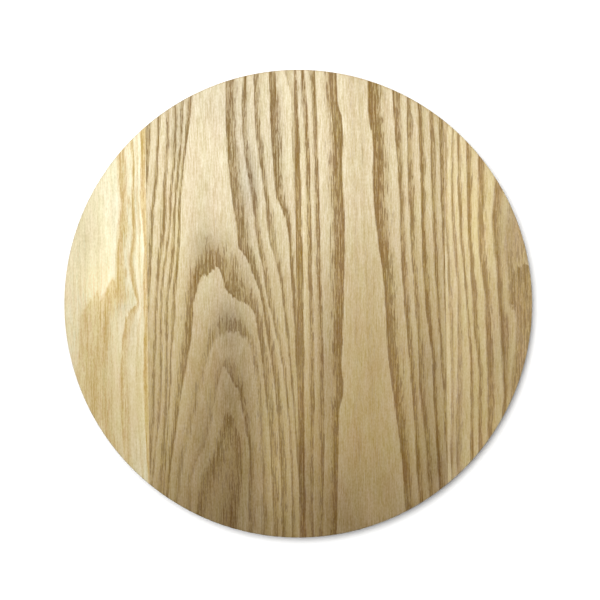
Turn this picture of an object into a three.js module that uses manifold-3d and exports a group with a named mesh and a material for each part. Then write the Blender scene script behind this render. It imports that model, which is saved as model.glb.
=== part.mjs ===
// A thin round board of pale ash: flat-sawn staves glued edge to edge into a panel, cut to a
// circle and sanded. Millimetres, +Z up, the grain runs along Y, and the origin is at the
// centre of the underside.

import * as THREE from 'three';
import { mergeVertices } from 'three/addons/utils/BufferGeometryUtils.js';
import Module from 'manifold-3d';

// Driving dimensions
const DIAMETER = 300;
const THICKNESS = 8;
const EDGE_RADIUS = 1; // easing sanded onto both edges of the rim
const STAVE_WIDTH = 95.5; // from one glue joint to the next
const MIDDLE_JOINT_X = -1; // the middle joint lies a little left of the centre
const GLUE_THICKNESS = 0.125; // cured glue film in each joint

// Facets of the round shapes
const RIM_SEGMENTS = 144;
const EDGE_SEGMENTS = 4;

// Staves from left to right: the outer two are cut short by the circle
const STAVES = [
  { name: 'stave_left', color: '#dcc691' },
  { name: 'stave_mid_left', color: '#c8ad7e' },
  { name: 'stave_mid_right', color: '#cfb587' },
  { name: 'stave_right', color: '#d0b27c' },
];
const WOOD_ROUGHNESS = 0.62;

// Glue lines from left to right, one between each pair of staves
const GLUE_LINES = ['glue_line_left', 'glue_line_middle', 'glue_line_right'];
const GLUE_COLOR = '#b08d55';
const GLUE_ROUGHNESS = 0.5;

const wasm = await Module();
wasm.setup();

// A closed geometry as a solid that can be cut
function solidOf(geometry) {
  geometry.deleteAttribute('normal');
  geometry.deleteAttribute('uv');
  const merged = mergeVertices(geometry);
  const mesh = new wasm.Mesh({
    numProp: 3,
    vertProperties: new Float32Array(merged.attributes.position.array),
    triVerts: new Uint32Array(merged.index.array),
  });
  return new wasm.Manifold(mesh);
}

// A cut solid as a geometry again, with flat facets
function geometryOf(solid) {
  const mesh = solid.getMesh();
  const geometry = new THREE.BufferGeometry();
  geometry.setAttribute('position', new THREE.BufferAttribute(mesh.vertProperties, mesh.numProp));
  geometry.setIndex(new THREE.BufferAttribute(mesh.triVerts, 1));
  geometry.computeVertexNormals();
  return geometry;
}

// The whole round panel, turned about Z from its half section
function roundPanel() {
  const radius = DIAMETER / 2;
  const flatRadius = radius - EDGE_RADIUS;
  const section = new THREE.Path();
  section.moveTo(0, 0);
  section.lineTo(flatRadius, 0);
  section.absarc(flatRadius, EDGE_RADIUS, EDGE_RADIUS, -Math.PI / 2, 0);
  section.lineTo(radius, THICKNESS - EDGE_RADIUS);
  section.absarc(flatRadius, THICKNESS - EDGE_RADIUS, EDGE_RADIUS, 0, Math.PI / 2);
  section.lineTo(0, THICKNESS);
  const divisions = EDGE_SEGMENTS / 2; // an arc of a path gets two segments for each division
  const lathe = new THREE.LatheGeometry(section.getPoints(divisions), RIM_SEGMENTS);
  lathe.rotateX(Math.PI / 2);
  return solidOf(lathe);
}

// The slice of the panel between two planes across X
function sliceOf(panel, lowX, highX) {
  const depth = DIAMETER * 2; // reaches past the rim
  const height = THICKNESS * 2; // reaches past both faces
  const slab = new THREE.BoxGeometry(highX - lowX, depth, height);
  slab.translate((lowX + highX) / 2, 0, THICKNESS / 2);
  return geometryOf(panel.intersect(solidOf(slab)));
}

function namedMesh(name, geometry, color, roughness) {
  const material = new THREE.MeshStandardMaterial({ color, roughness, metalness: 0 });
  const mesh = new THREE.Mesh(geometry, material);
  mesh.name = name;
  return mesh;
}

const disc = new THREE.Group();
const panel = roundPanel();
const halfGlue = GLUE_THICKNESS / 2;

// Staves
const leftEdgeX = MIDDLE_JOINT_X - (STAVES.length / 2) * STAVE_WIDTH;
STAVES.forEach((stave, index) => {
  const lowX = leftEdgeX + index * STAVE_WIDTH + halfGlue;
  const highX = leftEdgeX + (index + 1) * STAVE_WIDTH - halfGlue;
  const geometry = sliceOf(panel, lowX, highX);
  disc.add(namedMesh(stave.name, geometry, stave.color, WOOD_ROUGHNESS));
});

// Glue lines, flush with both faces and with the rim
GLUE_LINES.forEach((name, index) => {
  const jointX = leftEdgeX + (index + 1) * STAVE_WIDTH;
  const geometry = sliceOf(panel, jointX - halfGlue, jointX + halfGlue);
  disc.add(namedMesh(name, geometry, GLUE_COLOR, GLUE_ROUGHNESS));
});

export default disc;
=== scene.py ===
import math

import bpy
import numpy as np
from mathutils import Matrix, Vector
from mathutils.geometry import delaunay_2d_cdt


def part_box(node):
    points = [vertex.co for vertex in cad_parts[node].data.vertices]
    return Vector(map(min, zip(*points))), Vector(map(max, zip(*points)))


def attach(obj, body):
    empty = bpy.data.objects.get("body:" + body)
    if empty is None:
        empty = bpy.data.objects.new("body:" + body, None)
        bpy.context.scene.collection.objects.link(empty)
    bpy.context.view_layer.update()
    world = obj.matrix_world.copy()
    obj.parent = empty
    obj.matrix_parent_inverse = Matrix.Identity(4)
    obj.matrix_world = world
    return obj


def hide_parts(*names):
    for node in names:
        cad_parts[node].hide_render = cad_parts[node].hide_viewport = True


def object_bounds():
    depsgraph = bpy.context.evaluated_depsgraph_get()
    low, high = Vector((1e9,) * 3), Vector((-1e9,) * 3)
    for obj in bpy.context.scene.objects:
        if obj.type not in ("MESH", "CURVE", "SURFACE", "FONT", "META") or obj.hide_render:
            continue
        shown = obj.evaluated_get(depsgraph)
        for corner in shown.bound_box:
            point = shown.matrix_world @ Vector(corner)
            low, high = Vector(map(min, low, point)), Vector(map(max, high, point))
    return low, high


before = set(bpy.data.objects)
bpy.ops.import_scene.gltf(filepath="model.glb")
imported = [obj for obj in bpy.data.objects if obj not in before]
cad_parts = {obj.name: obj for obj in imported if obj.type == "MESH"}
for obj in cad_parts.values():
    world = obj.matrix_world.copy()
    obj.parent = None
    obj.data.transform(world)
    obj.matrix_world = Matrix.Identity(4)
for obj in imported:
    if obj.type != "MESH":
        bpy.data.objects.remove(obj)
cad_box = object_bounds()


# Left stave
# A narrow piece of pale yellow ash, cut short by the circle. It is sawn near the quarter, so it shows
# cloudy patches and only a few faint ring lines. Its right edge is planed and glued to its neighbour.

# Sizes of the board and of its mesh are in millimetres, and so are all ring lines and patches below
mm = 0.001
board_radius = (cad_box[1].x - cad_box[0].x) / 2 / mm
board_thickness = (cad_box[1].z - cad_box[0].z) / mm
rim_ease = 0.5  # sanded onto both edges of the rim
ring_relief = 0.03  # how far early wood lies below late wood
rim_step = 1.0
joint_step = 3.0
ease_steps = 4
side_steps = 6
top_lattice = (0.5, 2.0)  # spacing across the grain and along it
under_lattice = (1.0, 4.0)


def stave_outline(low_x, high_x, radius):
    """The circle of one radius cut by the stave's glued edges, counter-clockwise, in millimetres."""
    span = [math.acos(max(-1.0, min(1.0, x / board_radius))) for x in (high_x, low_x)]
    rim_count = int((span[1] - span[0]) * board_radius / rim_step)
    start_angle = math.acos(min(1.0, high_x / radius))
    end_angle = math.acos(max(-1.0, low_x / radius))
    angles = np.linspace(start_angle, end_angle, rim_count)
    upper = radius * np.column_stack([np.cos(angles), np.sin(angles)])
    lower = upper[::-1] * (1, -1)

    def glued_edge(edge_x, start, end):
        count = int(2 * math.sqrt(board_radius ** 2 - edge_x ** 2) / joint_step)
        return np.linspace(start, end, count)[1:-1]

    parts = [upper]
    if low_x > 1 - board_radius:
        parts += [glued_edge(low_x, upper[-1], lower[0]), lower]
    else:
        parts += [lower[1:]]
    if high_x < board_radius - 1:
        parts += [glued_edge(high_x, lower[-1], upper[0])]
    else:
        parts[-1] = parts[-1][:-1]
    return np.vstack(parts)


def face_lattice(low_x, high_x, lattice):
    """Points of a lattice drawn out along the grain, inside the flat part of a stave's face."""
    across, along = lattice
    columns = np.arange(low_x + across, high_x - across / 2, across)
    rows = np.arange(-board_radius, board_radius, along)
    spots = np.stack(np.meshgrid(columns, rows), axis=-1).reshape(-1, 2)
    reach = board_radius - rim_ease - across
    return spots[np.hypot(spots[:, 0], spots[:, 1]) < reach]


def face_triangles(outline, inner):
    """Triangles that fill an outline through the lattice points inside it."""
    spots = [Vector(spot) for spot in np.vstack([outline, inner])]
    border = list(range(len(outline)))
    inside_only = 1
    merge_distance = 1e-6
    return np.array(delaunay_2d_cdt(spots, [], [border], inside_only, merge_distance)[2])


def stave_blank(node):
    """Points and faces of one closed stave: a loop for each step round its edge, and two filled faces."""
    low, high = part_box(node)
    low_x, high_x = low.x / mm, high.x / mm
    turns = np.linspace(0, math.pi / 2, ease_steps + 1)
    lower_ease = [(rim_ease * (1 - math.sin(a)), rim_ease * (1 - math.cos(a))) for a in turns]
    side = [(0, z) for z in np.linspace(rim_ease, board_thickness - rim_ease, side_steps + 1)[1:-1]]
    upper_ease = [(inset, board_thickness - z) for inset, z in reversed(lower_ease)]

    loops = []
    for inset, z in lower_ease + side + upper_ease:
        flat = stave_outline(low_x, high_x, board_radius - inset)
        loops.append(np.column_stack([flat, np.full(len(flat), z)]))
    size = len(loops[0])
    here = np.arange(size)
    after = (here + 1) % size
    faces = []
    for row in range(len(loops) - 1):
        below, above = row * size, (row + 1) * size
        faces += np.column_stack([below + here, below + after, above + after, above + here]).tolist()

    points = np.vstack(loops)
    for level, lattice in ((len(loops) - 1, top_lattice), (0, under_lattice)):
        inner = face_lattice(low_x, high_x, lattice)
        triangles = face_triangles(loops[level][:, :2], inner)
        numbers = np.concatenate([level * size + here, len(points) + np.arange(len(inner))])
        triangles = numbers[triangles]
        faces += (triangles if level else triangles[:, ::-1]).tolist()
        face_z = np.full(len(inner), loops[level][0, 2])
        points = np.vstack([points, np.column_stack([inner, face_z])])
    return points, faces


def smooth_line(points):
    """Close steps along a smooth curve through a few given points."""
    step = 1.5
    points = np.array(points, float)
    chord = np.concatenate([[0], np.cumsum(np.hypot(*np.diff(points, axis=0).T))])
    slope = np.gradient(points, chord, axis=0)
    along = np.append(np.arange(0, chord[-1], step), chord[-1])
    part = np.clip(np.searchsorted(chord, along, side="right") - 1, 0, len(chord) - 2)
    length = (chord[part + 1] - chord[part])[:, None]
    s = (along - chord[part])[:, None] / length
    start, end = points[part], points[part + 1]
    return (
        (2 * s ** 3 - 3 * s ** 2 + 1) * start
        + (s ** 3 - 2 * s ** 2 + s) * length * slope[part]
        + (3 * s ** 2 - 2 * s ** 3) * end
        + (s ** 3 - s ** 2) * length * slope[part + 1]
    )


def ring(line, darkness, porous, blur=1.0):
    """A growth ring: its line on the top face, and how its early wood looks.

    The early wood's darkness, and its share of the year, are given left and right of the heart. Blur is
    how far it reaches back over the line.
    """
    return {"line": line, "darkness": darkness, "porous_share": porous, "edge_blur": (blur, blur)}


def ring_distance(line, spots):
    """Distance of each spot from a ring's line, its change along Y, and which spots lie heart side."""
    nearest = np.full(len(spots), np.inf)
    nearest_rise = np.zeros(len(spots))
    inside = np.zeros(len(spots), bool)
    x, y = spots.T
    for (x0, y0), (x1, y1) in zip(line, np.roll(line, -1, axis=0)):
        if y0 != y1:
            crossing = x0 + (y - y0) * (x1 - x0) / (y1 - y0)
            inside ^= ((y0 > y) != (y1 > y)) & (x < crossing)
        run_x, run_y = x1 - x0, y1 - y0
        s = np.clip(((x - x0) * run_x + (y - y0) * run_y) / (run_x ** 2 + run_y ** 2), 0, 1)
        off_y = y - y0 - s * run_y
        squared = (x - x0 - s * run_x) ** 2 + off_y ** 2
        nearest_rise = np.where(squared < nearest, off_y, nearest_rise)
        nearest = np.minimum(nearest, squared)
    distance = np.sqrt(nearest) + 1e-6
    return distance, nearest_rise / distance, inside


def ring_fields(points, rings, heart_x, pith_rise):
    """Growth at each point: year, its change along the grain, ring width, and how the early wood looks.

    The first ring is the line of the heart, which has no inside. Rings are given on the top face. Below
    it they lean away from the heart, round a pith that lies pith_rise above the board, so the rim and
    the underside continue the same rings. Towards the lower end the early wood gets a little fainter.
    """
    open_heart = 12.0  # keeps the lean finite at the heart
    last_width = 8.0  # of the year outside the last line
    heart_width = 10.0  # where the looks change from left to right
    low_fade = 0.1
    low_reach = 115.0
    depth = board_thickness - points[:, 2]
    side = points[:, 0] - heart_x
    lean = np.sqrt(1 + (2 * pith_rise * depth + depth ** 2) / (side ** 2 + open_heart ** 2))
    spots = np.column_stack([heart_x + side * lean, points[:, 1]])

    measured = [ring_distance(smooth_line(each["line"]), spots) for each in rings]
    gap, rise, inside = (np.array(part) for part in zip(*measured))
    inside[0] = False
    outer = np.where(inside.any(axis=0), inside.argmax(axis=0), len(rings))
    inner = outer - 1
    beyond = np.minimum(outer, len(rings) - 1)
    every = np.arange(len(spots))
    closed = outer < len(rings)
    to_outer = np.where(closed, gap[beyond, every], last_width)
    outer_rise = np.where(closed, rise[beyond, every], 0)
    to_inner = gap[inner, every]
    width = to_inner + to_outer
    share = to_inner / width
    rightness = np.clip(0.5 + side / heart_width, 0, 1)

    def along_rings(name):
        left, right = np.array([each[name] for each in rings]).T
        on_left = left[inner] * (1 - share) + left[beyond] * share
        on_right = right[inner] * (1 - share) + right[beyond] * share
        return on_left * (1 - rightness) + on_right * rightness

    clear = 1 - low_fade * np.clip(-points[:, 1] / low_reach, 0, 1) ** 2
    return {
        "year": inner + share,
        "year_rise": (to_outer * rise[inner, every] - to_inner * outer_rise) / width ** 2,
        "ring_width": width,
        "darkness": along_rings("darkness") * clear,
        "porous_share": along_rings("porous_share"),
        "edge_blur": along_rings("edge_blur"),
    }


def patch_field(points, patches):
    """The sum of soft patches over the wood: each has a centre, half sizes and an amount."""
    field = np.zeros(len(points))
    for x, y, half_x, half_y, amount in patches:
        field += amount * np.exp(-((points[:, 0] - x) / half_x) ** 2 - ((points[:, 1] - y) / half_y) ** 2)
    return field


def add_node(tree, kind, inputs=None, **settings):
    """A node of a tree, with its settings and with each input set to a value or linked to a socket."""
    node = tree.nodes.new(kind)
    for name, value in settings.items():
        setattr(node, name, value)
    for key, value in (inputs or {}).items():
        if isinstance(value, bpy.types.NodeSocket):
            tree.links.new(value, node.inputs[key])
        else:
            node.inputs[key].default_value = value
    return node


def ash_material(name, late_wood, early_wood, pore, streaky, seed):
    """Planed ash: pale late wood, tan early wood fading out of each ring line, and dark open pores."""
    material = bpy.data.materials.new(name)
    material.use_nodes = True
    tree = material.node_tree
    tree.nodes.clear()

    def field(attribute):
        return add_node(tree, "ShaderNodeAttribute", attribute_name=attribute).outputs["Fac"]

    def math_node(operation, first, second=0.0):
        return add_node(tree, "ShaderNodeMath", {0: first, 1: second}, operation=operation).outputs[0]

    place = add_node(tree, "ShaderNodeTexCoord").outputs["Object"]

    def grain_noise(across, along, detail, offset):
        stretch = (1 / (across * mm), 1 / (along * mm), 1 / (across * mm))
        drawn = add_node(tree, "ShaderNodeVectorMath", {0: place, 1: stretch}, operation="MULTIPLY")
        noise = add_node(
            tree, "ShaderNodeTexNoise",
            {"Vector": drawn.outputs[0], "W": seed + offset, "Scale": 1.0, "Detail": detail},
            noise_dimensions="4D",
        )
        return noise.outputs[0]

    def remap(value, low, high, to_low, to_high, shape="SMOOTHSTEP"):
        node = add_node(
            tree, "ShaderNodeMapRange",
            {"Value": value, "From Min": low, "From Max": high, "To Min": to_low, "To Max": to_high},
            interpolation_type=shape,
        )
        return node.outputs[0]

    def blend(share, first, second):
        node = add_node(tree, "ShaderNodeMix", {0: share}, data_type="RGBA")
        for socket, value in zip((node.inputs[6], node.inputs[7]), (first, second)):
            if isinstance(value, bpy.types.NodeSocket):
                tree.links.new(value, socket)
            else:
                socket.default_value = (*value, 1.0)
        return node.outputs[2]

    def product(first, second):
        return math_node("MULTIPLY", first, second)

    def total(first, second):
        return math_node("ADD", first, second)

    def swing(value, amount):
        return product(math_node("SUBTRACT", value, 0.5), amount)

    # Every ring is drawn out in streaks along the fibres, and wavers a little across them
    streaks = grain_noise(across=0.9, along=12.0, detail=2.0, offset=0.0)
    fine_streaks = grain_noise(across=0.6, along=7.0, detail=2.0, offset=3.0)
    long_streaks = grain_noise(across=0.8, along=40.0, detail=1.0, offset=21.0)
    line_streaks = grain_noise(across=0.9, along=30.0, detail=1.0, offset=6.0)
    line_waves = grain_noise(across=1.3, along=14.0, detail=2.0, offset=9.0)
    drawn_out = product(field("year_rise"), swing(line_streaks, 7.0))
    waver = math_node("DIVIDE", swing(line_waves, 2.0), field("ring_width"))
    through_ring = math_node("FRACT", total(field("year"), total(drawn_out, waver)))
    past_line = product(through_ring, field("ring_width"))
    before_line = math_node("SUBTRACT", field("ring_width"), past_line)

    # Early wood starts at the ring line and fades outwards, further along some fibres than along others
    porous_end = product(field("porous_share"), total(swing(streaks, 3.0), 1.25))
    fading = remap(through_ring, product(porous_end, 0.45), porous_end, 1.0, 0.0)
    rising = remap(before_line, 0.0, field("edge_blur"), 1.0, 0.0)
    porous = product(math_node("MAXIMUM", fading, rising), field("darkness"))

    # Pores are dark open grooves, crowded in the early wood and most of all along the ring line
    first_row = product(remap(past_line, 0.4, 1.8, 1.0, 0.0), field("darkness"))
    crowding = total(product(porous, 0.16), product(first_row, 0.05))
    short_pores = remap(total(fine_streaks, crowding), 0.60, 0.68, 0.0, 1.0)
    long_pores = remap(total(long_streaks, crowding), 0.63, 0.71, 0.0, 1.0)
    pore_depth = remap(porous, 0.0, 0.65, 0.1, 1.0, "LINEAR")
    pores = product(math_node("MAXIMUM", short_pores, long_pores), pore_depth)

    # Fibres, short cells and slow clouds vary the tone of the whole board
    fibres = total(swing(streaks, 0.31), swing(fine_streaks, 0.48))
    cells = swing(grain_noise(across=0.9, along=1.7, detail=1.0, offset=12.0), 0.36)
    clouds = swing(grain_noise(across=14.0, along=45.0, detail=2.0, offset=15.0), 0.2)
    dense_end = remap(through_ring, 0.6, 1.0, 0.0, 0.07)
    broad_streaks = swing(grain_noise(across=2.4, along=70.0, detail=2.0, offset=24.0), streaky)
    tone = total(total(fibres, cells), total(total(clouds, broad_streaks), dense_end))
    # Patches add to the tone: wood that is lighter or darker, and on the middle staves painted shade
    # towards the lower edge
    value = total(total(tone, field("tone_and_painted_shade")), 1.0)
    hue_clouds = swing(grain_noise(across=8.0, along=26.0, detail=1.0, offset=18.0), 0.03)
    hue = total(hue_clouds, total(product(field("tone_and_painted_shade"), 0.02), 0.5))
    saturation = math_node("SUBTRACT", 1.0, total(tone, product(field("tone_and_painted_shade"), 0.12)))

    ringed = blend(math_node("MAXIMUM", porous, field("stain")), late_wood, early_wood)
    pored = blend(product(pores, 0.8), ringed, pore)
    color = add_node(
        tree, "ShaderNodeHueSaturation",
        {"Color": pored, "Hue": hue, "Value": value, "Saturation": saturation},
    )

    # Late wood shines most, in short glints along the fibres, and the pores stay dull
    late_roughness = 0.29
    early_roughness = 0.42
    pore_roughness = 0.15
    wood_roughness = remap(porous, 0.0, 1.0, late_roughness, early_roughness, "LINEAR")
    roughness = total(wood_roughness, product(pores, pore_roughness))
    glint = total(1.0, total(swing(fine_streaks, 1.8), swing(streaks, 1.1)))
    sheen = remap(pores, 0.0, 1.0, 0.78, 0.22, "LINEAR")
    shine = product(product(remap(porous, 0.0, 1.0, 1.0, 0.75, "LINEAR"), sheen), glint)
    pore_bump = 0.03 * mm
    height = math_node("SUBTRACT", fibres, pores)
    bump = add_node(tree, "ShaderNodeBump", {"Strength": 0.6, "Distance": pore_bump, "Height": height})
    greenish_shine = (0.92, 1.0, 0.92, 1.0)
    shader = add_node(
        tree, "ShaderNodeBsdfPrincipled",
        {"Base Color": color.outputs[0], "Roughness": roughness, "Specular IOR Level": shine,
         "Specular Tint": greenish_shine, "Normal": bump.outputs[0]},
    )
    add_node(tree, "ShaderNodeOutputMaterial", {"Surface": shader.outputs[0]})
    return material


def make_stave(node, rings, heart_x, pith_rise, patches, stains, material):
    """One stave as a closed mesh that carries its growth rings, in the place of its plain solid."""
    points, faces = stave_blank(node)
    fields = ring_fields(points, rings, heart_x, pith_rise)
    # Patches of lighter and darker wood, with painted shade towards the lower edge of the middle staves
    fields["tone_and_painted_shade"] = patch_field(points, patches)
    fields["stain"] = patch_field(points, stains)

    # Early wood is softer and sands a little lower than late wood
    fading = np.clip(1 - (fields["year"] % 1) / fields["porous_share"], 0, 1)
    sunk = ring_relief * fading * fields["darkness"]
    points[:, 2] -= np.where(points[:, 2] == board_thickness, sunk, 0)
    points[:, 2] += np.where(points[:, 2] == 0, sunk, 0)

    mesh = bpy.data.meshes.new(node + "_wood")
    mesh.from_pydata((points * mm).tolist(), [], faces)
    for name, values in fields.items():
        attribute = mesh.attributes.new(name, "FLOAT", "POINT")
        attribute.data.foreach_set("value", values.astype(np.float32))
    mesh.shade_smooth()
    mesh.set_sharp_from_angle(angle=math.radians(35))
    mesh.materials.append(material)
    stave = bpy.data.objects.new(node + "_wood", mesh)
    bpy.context.scene.collection.objects.link(stave)
    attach(stave, "root")
    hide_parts(node)


# Ring lines run on past the rim, and close far outside the stave
past = 200
far = 300

left_rings = [
    # Heart
    ring(
        line=[(-122, past), (-120.5, 100), (-122.5, 28)],
        darkness=(0.05, 0.05), porous=(0.3, 0.3)),
    # Ragged tip with a golden patch below it, and the tan streak beside it
    ring(
        line=[
            (-far, -past), (-112, -past), (-115, -103), (-129.5, -81), (-139.5, -61),
            (-142.5, -43), (-140.5, -29.5), (-139.5, -14), (-137.5, -3), (-134.5, 1),
            (-133, 3.5), (-131, 5.5), (-129, 9), (-127, 3), (-124.5, 6), (-122.5, 10),
            (-120.5, 14), (-118.5, 17), (-117, 14), (-116, 8.5), (-115.5, 18), (-115.5, 32),
            (-114.5, 42.5), (-113.5, 54), (-112.5, 66), (-113.5, 77.5), (-114, 90.5),
            (-115, 106.5), (-117, past), (-far, past)
        ],
        darkness=(0.52, 0.62), porous=(1.15, 0.4), blur=3.0),
    # Lines between the tip and the glued edge
    ring(
        line=[
            (-far, past), (-far, -past), (-108, -past), (-113, -92.5), (-114, -70), (-114.5, -54),
            (-114, -36), (-113, -25), (-111, -14), (-109, -6), (-105.5, -1.5), (-102.5, 1.5),
            (-103.5, 5.5), (-105, 10.5), (-106.5, 18), (-107.5, 24), (-107.5, 32), (-106, 39),
            (-105, 48.5), (-105.5, 61.5), (-105.5, 71), (-105, 80.5), (-105, 93.5), (-106, 106.5),
            (-108, past)
        ],
        darkness=(0.65, 0.65), porous=(0.85, 0.85), blur=1.5),
    ring(
        line=[
            (-far, past), (-far, -past), (-99, -past), (-102, -100), (-104, -73), (-104.5, -49),
            (-104, -27), (-103, -14), (-101, -5), (-100.5, 1.5), (-101, 8), (-102, 20), (-102, 34),
            (-101.5, 47), (-102, 60), (-102.5, 72), (-102.3, 85), (-102.5, 100), (-103, 112),
            (-105, past)
        ],
        darkness=(0.35, 0.35), porous=(0.35, 0.35), blur=1.5),
    ring(
        line=[
            (-far, past), (-far, -past), (-95, -past), (-98, -100.5), (-99, -73.5), (-99.5, -49),
            (-99, -27), (-98.5, -17), (-99, -1.5), (-99, 10), (-98.5, 23), (-98, 34.5),
            (-98.5, 47), (-99.5, 60), (-100, 67.5), (-100, 80.5), (-99.5, 93.5), (-99.5, 112.5),
            (-102, past)
        ],
        darkness=(0.7, 0.7), porous=(0.4, 0.4), blur=1.0),
]
# Lighter and darker patches of the wood: centre, half sizes and amount
left_patches = [
    (-125, 25, 10, 28, 0.14),
    (-121, 55, 7, 35, 0.06),
    (-98, 45, 4, 50, 0.16),
    (-117, -25, 3, 24, 0.06),
    (-101, -50, 4, 50, 0.10),
    (-103, 30, 3, 12, 0.08),
    (-138, 45, 8, 40, -0.03),
    (-111.5, -1, 5, 1.6, -0.12),
    (-137, 15, 9, 14, 0.07),
    (-126, 14, 10, 12, 0.14),
]
# Patches stained like the early wood, but without its pores
left_stains = [
    (-114, -60, 24, 55, 0.55),
]
left_ash = ash_material(
    "pale ash",
    late_wood=(0.90, 0.81, 0.53), early_wood=(0.80, 0.57, 0.20), pore=(0.62, 0.41, 0.14),
    streaky=0.4, seed=1.0)
make_stave(
    "stave_left", left_rings, heart_x=-122, pith_rise=70,
    patches=left_patches, stains=left_stains, material=left_ash)


# Middle left stave
# A full-width flat-sawn board of ash. Its cut runs along the log's outside, so the rings meet in pointed
# arches in the lower half and run as straight lines up both sides. Both edges are glued.

middle_left_rings = [
    # Heart of the small arch
    ring(
        line=[
            (-63.5, -past), (-62.5, -118.5), (-59, -107), (-54, -99.5), (-51, -90), (-48, -80.5),
            (-45.5, -74), (-42, -80.5), (-39.5, -90), (-39.5, -112.5), (-44, -138), (-46, -past)
        ],
        darkness=(0.75, 0.75), porous=(0.4, 0.4)),
    # Small pointed arch
    ring(
        line=[
            (-71, -past), (-70, -122), (-69.5, -112), (-68, -104.5), (-65.5, -98), (-62, -93),
            (-59.5, -86.5), (-57.5, -79), (-56, -70.5), (-55, -64.5), (-53.5, -58), (-52.5, -51.5),
            (-50, -44), (-48, -39.5), (-45.5, -42.5), (-43.5, -47), (-42, -51), (-39, -53.5),
            (-38, -58), (-37, -64.5), (-35.5, -71), (-34.5, -79.5), (-33, -87), (-32, -94.5),
            (-32.5, -109.5), (-33, -125.5), (-34, -past)
        ],
        darkness=(0.5, 0.7), porous=(0.35, 0.35), blur=1.6),
    # Round arch with a soft edge
    ring(
        line=[
            (-83.5, -past), (-78.5, -123.5), (-75, -99.5), (-71.5, -86.5), (-69.5, -77),
            (-67, -67.5), (-65, -58.5), (-63, -51.5), (-61, -43), (-59, -35.5), (-57, -29),
            (-54.5, -24), (-51, -19.5), (-47, -17.5), (-42, -17), (-37, -18.5), (-33, -21),
            (-31, -25), (-29.5, -32), (-27.5, -43.5), (-26.5, -53), (-26, -62.5), (-25.5, -74.5),
            (-25, -87), (-24.5, -100), (-24.5, -past)
        ],
        darkness=(0.45, 0.55), porous=(0.35, 0.4), blur=3.0),
    # Stepped arch, the tallest of the three
    ring(
        line=[
            (-88, -past), (-84.5, -117), (-81.5, -92), (-78.5, -73.5), (-76, -57), (-73, -43),
            (-70.5, -29), (-69, -19), (-68, -8.5), (-67, 3), (-65, 10), (-63.5, 15.5), (-62, 18.5),
            (-57.5, 20), (-55, 21.5), (-53.5, 23.5), (-51.5, 25), (-49, 22), (-48, 17.5),
            (-46, 10.5), (-44.5, 7.5), (-41, 5), (-36, 2), (-33, 1), (-30.5, -1.5), (-28.5, -4.5),
            (-27, -9.5), (-26, -18), (-24, -30.5), (-22.5, -48.5), (-20, -71), (-19, -87),
            (-18, -109.5), (-17.5, -past)
        ],
        darkness=(0.8, 0.7), porous=(0.5, 0.6)),
    # Rings that run the whole length of the stave
    ring(
        line=[
            (-93, -past), (-87.5, -118.5), (-84.5, -80), (-82.5, -50), (-81.5, -28.5),
            (-79.5, -9.5), (-78, 16), (-76.5, 27.5), (-75.5, 42), (-75, 61), (-73.5, 81.5),
            (-71.5, 97.5), (-68.5, 116.5), (-67, 132.5), (-65, past), (-45.5, past), (-44.5, 140),
            (-44, 100.5), (-42.5, 81), (-41, 67), (-40, 59.5), (-38.5, 51), (-38, 42.5), (-37, 36),
            (-33.5, 31.5), (-31, 27), (-29.5, 22), (-27, 15.5), (-25.5, 11.5), (-24, 6), (-22, -7),
            (-20, -21), (-16, -48.5), (-14, -74), (-12.5, -113), (-13, -past)
        ],
        darkness=(0.7, 0.78), porous=(0.5, 0.8)),
    ring(
        line=[
            (-96, -past), (-87.5, -99), (-85, -61), (-84, -29), (-83, 7), (-80.5, 23), (-79, 42),
            (-78, 61), (-76, 80), (-74, 100), (-72.5, 122), (-71.5, past), (-32, past),
            (-33.5, 144), (-34.5, 121), (-33.5, 102), (-31, 83), (-28, 64), (-25.5, 41), (-23, 27),
            (-19.5, 3), (-16.5, -10), (-11, -36), (-8, -62), (-6.5, -87), (-6, -past)
        ],
        darkness=(0.65, 0.62), porous=(0.45, 0.45)),
    ring(
        line=[
            (-103, -past), (-94.5, -112), (-92, -89), (-89.5, -67), (-88, -41), (-87.5, -3),
            (-86.5, 13), (-83.5, 35), (-81.5, 51), (-80, 74), (-77.5, 96), (-76.5, 116),
            (-75, past), (-26, past), (-26.5, 145), (-26, 118), (-24.5, 99), (-22, 83), (-20, 64),
            (-18.5, 47), (-16.5, 36), (-13.5, 26), (-11, 12), (-8.5, -10), (-6.5, -30), (-4, -62),
            (-2, -94), (3, -past)
        ],
        darkness=(0.65, 0.62), porous=(0.5, 0.3)),
    ring(
        line=[
            (-109, -past), (-94, -80), (-92, -35), (-90.5, -3), (-89, 20), (-86.5, 37),
            (-84.5, 52), (-84, 74), (-82, 100), (-81.5, 120), (-80, past), (-16.5, past),
            (-16.5, 146), (-16, 118), (-15, 99), (-14, 80), (-13, 69), (-9.5, 61), (-6.5, 52),
            (-5, 38), (-4.5, 22), (-3, -1), (-2, -30), (8, -past)
        ],
        darkness=(0.6, 0.9), porous=(0.4, 0.4)),
    ring(
        line=[
            (-115, -past), (-99, -50), (-94.5, 20), (-93, 45), (-92, 61), (-90, 77), (-88.5, 100),
            (-87.5, 119), (-86, past), (-12, past), (-6, 147), (-3.5, 137), (-2.5, 126), (-2.5, 111),
            (-1, 60), (0, 34), (2, 0), (10, -past)
        ],
        darkness=(0.7, 0.4), porous=(0.3, 0.5)),
    ring(
        line=[
            (-120, -past), (-103, 20), (-95, 89), (-93.5, 111), (-90, past), (-2, past), (2, 150),
            (8, 60), (18, -past)
        ],
        darkness=(0.7, 0.4), porous=(0.35, 0.5)),
]
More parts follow.
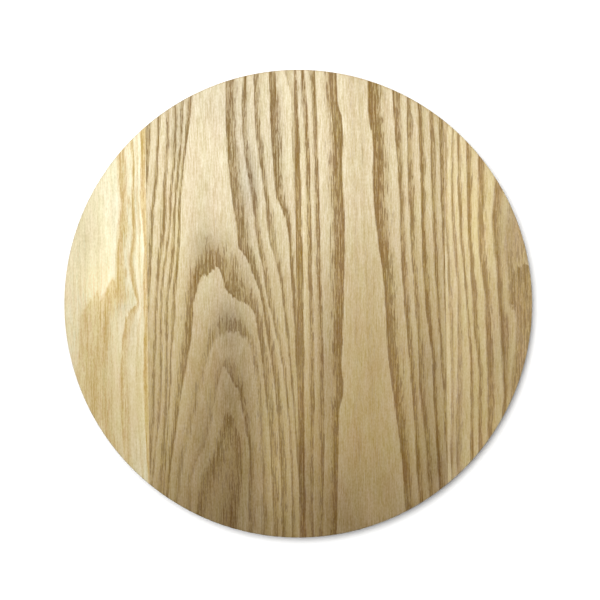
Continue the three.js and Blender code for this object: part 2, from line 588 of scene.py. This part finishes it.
middle_left_tone_and_shade = [
    # The first patch is painted shade: the board darker towards its lower edge, where the light falls off
    (-48, -150, 60, 38, -0.36),
    (-40, -45, 14, 48, -0.20),
    (-84, 20, 13, 70, 0.13),
    (-58, 68, 4, 22, -0.05),
    (-30, 78, 8, 22, -0.32),
    (-36, 115, 13, 30, -0.16),
    (-62, -92, 9, 34, -0.22),
    (-45, -10, 9, 16, -0.22),
    (-46, -58, 8, 22, -0.10),
    (-61, 37, 7, 14, -0.10),
    (-15, -115, 8, 26, 0.14),
    (-58, 128, 22, 16, -0.10),
    (-50, -50, 26, 60, -0.07),
    (-54, 40, 13, 11, -0.06),
    (-76, 111, 6, 20, -0.18),
    (-13, 105, 6, 32, -0.18),
    (-31, -95, 8, 45, -0.14),
    (-46, -108, 9, 32, -0.17),
    (-77, 44, 5, 22, 0.09),
    (-93, 10, 4, 30, 0.07),
    (-31, 30, 7, 24, -0.11),
    (-78, -105, 8, 28, -0.11),
    (-50, 152, 60, 22, -0.10),
]
middle_left_stains = [
    (-56, 36, 13, 12, 0.9),
    (-50, -70, 20, 50, 0.35),
]
middle_left_ash = ash_material(
    "arched ash",
    late_wood=(0.65, 0.49, 0.235), early_wood=(0.53, 0.37, 0.145), pore=(0.28, 0.17, 0.052),
    streaky=0.08, seed=2.0)
make_stave(
    "stave_mid_left", middle_left_rings, heart_x=-45, pith_rise=60,
    patches=middle_left_tone_and_shade, stains=middle_left_stains, material=middle_left_ash)


# Middle right stave
# A full-width flat-sawn board of ash with a plain pale band up its middle, where the cut lies within one
# year's late wood, and strong ring lines on both sides of it. Both edges are glued.

middle_right_rings = [
    # Heart, along the plain band
    ring(
        line=[(44, -past), (38, past)],
        darkness=(0.0, 0.0), porous=(0.3, 0.3)),
    # The strong lines on both sides of the plain band
    ring(
        line=[
            (21, -past), (22.5, -147), (23.5, -120), (24.5, -94), (25.5, -67), (27.5, -59),
            (27, -40), (28, -17), (29, 8), (30, 57), (29, 79), (29.5, 98), (29, 117), (26.5, 130),
            (26, 145), (24, past), (44, past), (46.5, 141), (47, 120), (49.5, 104), (49, 79),
            (50, 59), (52.5, 37), (54.5, 20), (56.5, -5), (57.5, -30), (60, -56), (62.5, -75),
            (65.5, -101), (67.5, -133), (71, -past)
        ],
        darkness=(0.95, 0.95), porous=(0.5, 0.5)),
    # Finer lines out to both glued edges
    ring(
        line=[
            (12.5, -past), (14, -147), (14.5, -126), (15.5, -75), (15.5, -36), (15, 2), (14.5, 28),
            (14, 60), (13.5, 92), (13, 124), (12.5, 145), (11, past), (59, past), (62.5, 134),
            (63.5, 114), (65, 88), (66, 66), (66.5, 34), (68, 2), (70, -24), (72.5, -56),
            (74, -88), (76, -124), (80, -past)
        ],
        darkness=(0.7, 0.75), porous=(0.55, 0.6)),
    ring(
        line=[
            (7, -past), (8, -145), (8.5, -94), (9.5, -62), (9.5, -30), (9, 9), (9, 41), (8.5, 73),
            (8, 105), (7, 127), (5.5, 147), (2, past), (70, past), (71.5, 130), (71.5, 98),
            (72, 66), (73, 34), (75, 1), (76.5, -31), (78, -63), (80.5, -88), (82.5, -124),
            (87, -past)
        ],
        darkness=(0.65, 0.65), porous=(0.5, 0.45)),
    ring(
        line=[
            (3, -past), (3, -147), (3, -68), (3.5, -30), (3, 2), (3, 34), (2.5, 66), (2, 99),
            (1, 127), (0, 149), (-3, past), (76.5, past), (78.5, 126), (79.5, 91), (80, 53),
            (81, 14), (83, -11), (85.5, -34), (86.5, -63), (87.5, -88), (89.5, -121), (94, -past)
        ],
        darkness=(0.9, 0.9), porous=(0.34, 0.4)),
    ring(
        line=[
            (-4, -past), (-5, past), (84, past), (86, 121), (86.5, 91), (87, 53), (88.5, 14),
            (90, -18), (92, -50), (93, -82), (95, -108), (99, -past)
        ],
        darkness=(0.6, 0.65), porous=(0.5, 0.45)),
    ring(
        line=[
            (-11, -past), (-12, past), (90, past), (92, 117), (92.5, 72), (93.5, 37), (94, 1),
            (95, -28), (101, -past)
        ],
        darkness=(0.6, 0.7), porous=(0.5, 0.5)),
]
middle_right_tone_and_shade = [
    # The first patch is painted shade: the board darker towards its lower edge, where the light falls off
    (45, -150, 60, 38, -0.38),
    (2, 40, 6, 40, 0.16),
    (18, -42, 7, 55, -0.19),
    (83, -75, 8, 40, -0.13),
    (80, 65, 16, 40, 0.09),
    (48, -134, 14, 14, 0.14),
    (83, -35, 7, 14, -0.06),
    (16, -125, 22, 26, -0.06),
    (40, 20, 10, 60, 0.04),
    (1, -108, 7, 26, -0.20),
    (66, -84, 6, 14, -0.08),
    (93, -105, 12, 18, -0.20),
    (1, 132, 7, 18, -0.14),
    (91, -42, 12, 18, -0.07),
    (45, 152, 60, 20, -0.07),
]
middle_right_stains = [
    (15, -115, 22, 45, 0.4),
]
middle_right_ash = ash_material(
    "banded ash",
    late_wood=(0.65, 0.485, 0.23), early_wood=(0.52, 0.35, 0.128), pore=(0.28, 0.162, 0.048),
    streaky=0.05, seed=3.0)
make_stave(
    "stave_mid_right", middle_right_rings, heart_x=41, pith_rise=60,
    patches=middle_right_tone_and_shade, stains=middle_right_stains, material=middle_right_ash)


# Right stave
# A narrow piece of yellower ash, cut short by the circle. Its rings lie close together and waver, and a
# porous patch shows at the rim where the cut runs along one ring. Its left edge is glued.

right_rings = [
    # Heart, which lies beyond the glued edge
    ring(
        line=[(88, past), (88, -past)],
        darkness=(0.3, 0.3), porous=(0.4, 0.4)),
    # Close lines that waver more towards the rim
    ring(
        line=[
            (-far, -past), (-far, past), (94.5, past), (95, 110), (95, 88), (95, 65.5),
            (95.5, 39.5), (96.5, 14), (97, -11.5), (97.5, -37.5), (97.5, -63), (97, -95),
            (98, -past)
        ],
        darkness=(0.5, 0.5), porous=(0.45, 0.45)),
    ring(
        line=[
            (-far, -past), (-far, past), (99, past), (100, 107), (99.5, 84.5), (99, 65.5),
            (100, 43), (100.5, 30), (102, 17), (102.5, 1), (102.5, -18), (102, -40.5), (101, -63),
            (100.5, -95), (102, -past)
        ],
        darkness=(0.55, 0.55), porous=(0.45, 0.45)),
    ring(
        line=[
            (-far, -past), (-far, past), (103, past), (103.5, 107), (103.5, 91), (103.5, 71.5),
            (104, 55.5), (104.5, 39.5), (106, 26.5), (107, 14), (108.5, -8.5), (109, -21.5),
            (110, -34), (110, -50.5), (110, -69.5), (109.5, -95), (111, -past)
        ],
        darkness=(0.65, 0.65), porous=(0.35, 0.35)),
    ring(
        line=[
            (-far, -past), (-far, past), (109, past), (109, 101.5), (109.5, 84.5), (109.5, 68.5),
            (109.5, 55.5), (110, 39.5), (111, 23.5), (111.5, 10.5), (112, -5.5), (113, -22.5),
            (114.5, -34.5), (115.5, -44), (115, -63), (115, -95), (117, -past)
        ],
        darkness=(0.75, 0.75), porous=(0.4, 0.4), blur=1.2),
    ring(
        line=[
            (-far, -past), (-far, past), (117, past), (117, 94), (117, 74.5), (116.5, 58.5),
            (116.5, 39.5), (117, 30), (118, 21.5), (119.5, 12), (120.5, 1), (120.5, -12),
            (121, -28), (121.5, -41), (121.5, -57), (121, -76), (121, -95.5), (123, -past)
        ],
        darkness=(0.85, 0.85), porous=(0.35, 0.35), blur=1.8),
    ring(
        line=[
            (-far, -past), (-far, past), (128, past), (127.5, 79), (127, 68), (126, 55.5),
            (126, 42.5), (126.5, 33), (128, 23.5), (128.5, 10.5), (129, 1), (129.5, -12),
            (130.5, -28), (131, -44), (131.5, -60), (130.5, -73), (131, -past)
        ],
        darkness=(0.8, 0.8), porous=(0.5, 0.5), blur=1.8),
    ring(
        line=[
            (-far, -past), (-far, past), (137, past), (136.5, 65), (135, 50), (134, 38), (134, 27),
            (134.5, 19), (135.2, 12), (135.2, 2), (136, -4), (138.5, -6), (139.5, -9), (140, -14),
            (139.5, -28), (137.5, -41), (136, -54), (135.5, -70), (136, -past)
        ],
        darkness=(0.4, 0.4), porous=(0.6, 0.6), blur=2.5),
    # Ragged tip of a ring, with a porous patch below it at the rim
    ring(
        line=[
            (-far, -past), (-far, past), (past, past), (past, 27), (153, 25), (147.5, 23.5),
            (144, 23), (141.5, 21), (138.5, 19.5), (137.5, 16), (136.5, 10.5), (136, 0.5),
            (137, -3), (139.5, -4.5), (140.5, -7), (141, -13.5), (140.5, -28), (138.5, -41),
            (137, -54), (136.5, -70), (137, -past)
        ],
        darkness=(0.68, 0.68), porous=(1.2, 1.2), blur=1.2),
]
right_patches = [
    (117, 50, 12, 34, 0.21),
    (99, 72, 8, 30, 0.09),
    (131, -32, 9, 40, -0.17),
    (101, -70, 12, 30, -0.08),
    (98, -100, 7, 16, -0.20),
    (133, 48, 9, 24, -0.18),
    (144, 5, 8, 18, -0.05),
]
right_stains = [
    (146, 5, 9, 18, 0.5),
]
right_ash = ash_material(
    "yellow ash",
    late_wood=(0.82, 0.64, 0.32), early_wood=(0.56, 0.37, 0.15), pore=(0.36, 0.22, 0.075),
    streaky=0.2, seed=4.0)
make_stave(
    "stave_right", right_rings, heart_x=92, pith_rise=70,
    patches=right_patches, stains=right_stains, material=right_ash)


# Glue lines
# A thin film of cured wood glue in each of the three joints, squeezed out when the panel was clamped and
# sanded flush with both faces and with the rim. It shows as a hairline a little darker than the wood.

glue_names = ["glue_line_left", "glue_line_middle", "glue_line_right"]


def glue_material():
    """Amber cured glue with a little cloudiness along the joint."""
    material = bpy.data.materials.new("cured glue")
    material.use_nodes = True
    tree = material.node_tree
    tree.nodes.clear()
    place = add_node(tree, "ShaderNodeTexCoord").outputs["Object"]
    clouds = add_node(tree, "ShaderNodeTexNoise", {"Vector": place, "Scale": 180.0, "Detail": 2.0})
    color = add_node(tree, "ShaderNodeValToRGB", {"Fac": clouds.outputs[0]})
    color.color_ramp.elements[0].color = (0.30, 0.18, 0.07, 1.0)
    color.color_ramp.elements[1].color = (0.50, 0.34, 0.15, 1.0)
    bump = add_node(
        tree, "ShaderNodeBump",
        {"Strength": 0.3, "Distance": 0.02 * mm, "Height": clouds.outputs[0]},
    )
    shader = add_node(
        tree, "ShaderNodeBsdfPrincipled",
        {"Base Color": color.outputs[0], "Roughness": 0.45, "Normal": bump.outputs[0]},
    )
    add_node(tree, "ShaderNodeOutputMaterial", {"Surface": shader.outputs[0]})
    return material


def glue_film_tree(material):
    """A plate with eased ends: a filleted rectangle in the YZ plane, filled and given its thickness."""
    tree = bpy.data.node_groups.new("glue film", "GeometryNodeTree")
    for name in ("Length", "Height", "Ease", "Thickness", "Joint X", "Rim slant"):
        tree.interface.new_socket(name, in_out="INPUT", socket_type="NodeSocketFloat")
    tree.interface.new_socket("Film", in_out="OUTPUT", socket_type="NodeSocketGeometry")
    given = add_node(tree, "NodeGroupInput").outputs

    def math_node(operation, first, second):
        return add_node(tree, "ShaderNodeMath", {0: first, 1: second}, operation=operation).outputs[0]

    # The rim crosses an outer joint at a slant, which draws its easing out along the joint
    drawn_in = math_node("DIVIDE", given["Length"], given["Rim slant"])
    plate = add_node(
        tree, "GeometryNodeCurvePrimitiveQuadrilateral",
        {"Width": drawn_in, "Height": given["Height"]},
    )
    eased = add_node(
        tree, "GeometryNodeFilletCurve",
        {"Curve": plate.outputs[0], "Radius": given["Ease"], "Count": ease_steps},
        mode="POLY",
    )
    face = add_node(tree, "GeometryNodeFillCurve", {"Curve": eased.outputs[0]})
    back = add_node(tree, "GeometryNodeFlipFaces", {"Mesh": face.outputs[0]})
    front = add_node(
        tree, "GeometryNodeExtrudeMesh",
        {"Mesh": face.outputs[0], "Offset Scale": given["Thickness"], "Individual": False},
    )
    whole = add_node(tree, "GeometryNodeJoinGeometry")
    tree.links.new(front.outputs[0], whole.inputs[0])
    tree.links.new(back.outputs[0], whole.inputs[0])
    closed = add_node(
        tree, "GeometryNodeMergeByDistance",
        {"Geometry": whole.outputs[0], "Distance": 0.001 * mm},
    )

    half = math_node("MULTIPLY", given["Thickness"], -0.5)
    start_x = math_node("ADD", given["Joint X"], half)
    mid_z = math_node("MULTIPLY", given["Height"], 0.5)
    spread = add_node(tree, "ShaderNodeCombineXYZ", {0: given["Rim slant"], 1: 1.0, 2: 1.0})
    shift = add_node(tree, "ShaderNodeCombineXYZ", {0: start_x, 2: mid_z})
    wide = add_node(
        tree, "GeometryNodeTransform",
        {"Geometry": closed.outputs[0], "Scale": spread.outputs[0]},
    )
    upright = (math.pi / 2, 0.0, math.pi / 2)
    stood = add_node(
        tree, "GeometryNodeTransform",
        {"Geometry": wide.outputs[0], "Translation": shift.outputs[0], "Rotation": upright},
    )
    real = add_node(tree, "GeometryNodeRealizeInstances", {"Geometry": stood.outputs[0]})
    finished = add_node(
        tree, "GeometryNodeSetMaterial",
        {"Geometry": real.outputs[0], "Material": material},
    )
    add_node(tree, "NodeGroupOutput", {0: finished.outputs[0]})
    return tree


glue = glue_material()
film_tree = glue_film_tree(glue)
film_sockets = film_tree.interface.items_tree
film_inputs = {socket.name: socket.identifier for socket in film_sockets if socket.in_out == "INPUT"}
for node in glue_names:
    low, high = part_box(node)
    joint_x = (low.x + high.x) / 2
    half_length = math.sqrt((board_radius * mm) ** 2 - joint_x ** 2)
    sizes = {
        "Length": 2 * half_length,
        "Height": board_thickness * mm,
        "Ease": rim_ease * mm,
        "Thickness": high.x - low.x,
        "Joint X": joint_x,
        "Rim slant": board_radius * mm / half_length,
    }
    blank = bpy.data.objects.new(node + "_blank", bpy.data.meshes.new(node + "_blank"))
    bpy.context.scene.collection.objects.link(blank)
    maker = blank.modifiers.new("glue film", "NODES")
    maker.node_group = film_tree
    for name, value in sizes.items():
        maker[film_inputs[name]] = value
    evaluated = blank.evaluated_get(bpy.context.evaluated_depsgraph_get())
    film_mesh = bpy.data.meshes.new_from_object(evaluated)
    bpy.data.objects.remove(blank)
    film = bpy.data.objects.new(node + "_film", film_mesh)
    bpy.context.scene.collection.objects.link(film)
    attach(film, "root")
    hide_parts(node)


# Studio
# A matt table lit white all over by a wash of its own, a soft lamp above the upper half of the disc and a
# weaker one at its upper left, a faint even fill, and the camera straight above.

scene = bpy.context.scene
scene.view_settings.view_transform = "Standard"

table_half = 15.0
table_gap = 0.2 * mm
table_corners = [
    (-table_half, -table_half, 0), (table_half, -table_half, 0),
    (table_half, table_half, 0), (-table_half, table_half, 0),
]
table_mesh = bpy.data.meshes.new("table")
table_mesh.from_pydata(table_corners, [], [(0, 1, 2, 3)])
table = bpy.data.objects.new("table", table_mesh)
table.location.z = -table_gap
scene.collection.objects.link(table)
table_white = bpy.data.materials.new("table white")
table_white.use_nodes = True
table_white.node_tree.nodes.clear()
white = add_node(
    table_white.node_tree, "ShaderNodeBsdfPrincipled",
    {"Base Color": (0.3, 0.3, 0.3, 1.0), "Roughness": 0.9, "Specular IOR Level": 0.0},
)
add_node(table_white.node_tree, "ShaderNodeOutputMaterial", {"Surface": white.outputs[0]})
table_mesh.materials.append(table_white)


def add_lamp(name, kind, place, energy):
    """A lamp at a place, turned towards the disc."""
    lamp = bpy.data.lights.new(name, kind)
    lamp.energy = energy
    holder = bpy.data.objects.new(name, lamp)
    holder.location = place
    holder.rotation_euler = (-Vector(place)).to_track_quat("-Z", "Y").to_euler()
    scene.collection.objects.link(holder)
    return holder


top_lamp = add_lamp("top lamp", "AREA", place=(-0.046, 0.226, 0.60), energy=3.2)
top_lamp.data.size = 0.39
top_lamp.data.color = (1.0, 0.986, 0.97)
side_lamp = add_lamp("side lamp", "AREA", place=(-0.45, 0.40, 0.60), energy=1.1)
side_lamp.data.size = 0.40
table_wash = add_lamp("table wash", "SUN", place=(-0.32, 0.22, 1.0), energy=9.8)
table_wash.data.angle = math.radians(52)
washed = bpy.data.collections.new("washed")
washed.objects.link(table)
table_wash.light_linking.receiver_collection = washed

# The fill is faint on the disc and plain white to the camera
fill_level = 0.085
fill = bpy.data.worlds.new("fill")
fill.use_nodes = True
fill.node_tree.nodes.clear()
seen = add_node(fill.node_tree, "ShaderNodeLightPath").outputs["Is Camera Ray"]
level = add_node(
    fill.node_tree, "ShaderNodeMapRange",
    {"Value": seen, "To Min": fill_level, "To Max": 1.0},
)
sky = add_node(
    fill.node_tree, "ShaderNodeBackground",
    {"Color": (1.0, 1.0, 1.0, 1.0), "Strength": level.outputs[0]},
)
add_node(fill.node_tree, "ShaderNodeOutputWorld", {"Surface": sky.outputs[0]})
scene.world = fill

# The camera's place and height come from where the disc lies in the photo and how wide it is there
photo_width_px = 600
disc_width_px = 467.8
disc_left_of_centre_px = 1.84
disc_below_centre_px = 3.7
grain_lean = math.radians(0.7)
lens = 85.0
sensor = 36.0
pixel = 2 * board_radius * mm / disc_width_px
camera = bpy.data.cameras.new("camera")
camera.lens = lens
camera.sensor_width = sensor
camera_object = bpy.data.objects.new("camera", camera)
camera_object.location = (
    disc_left_of_centre_px * pixel,
    disc_below_centre_px * pixel,
    (board_thickness - rim_ease) * mm + pixel * photo_width_px * lens / sensor,
)
camera_object.rotation_euler = (0, 0, -grain_lean)
scene.collection.objects.link(camera_object)
scene.camera = camera_object
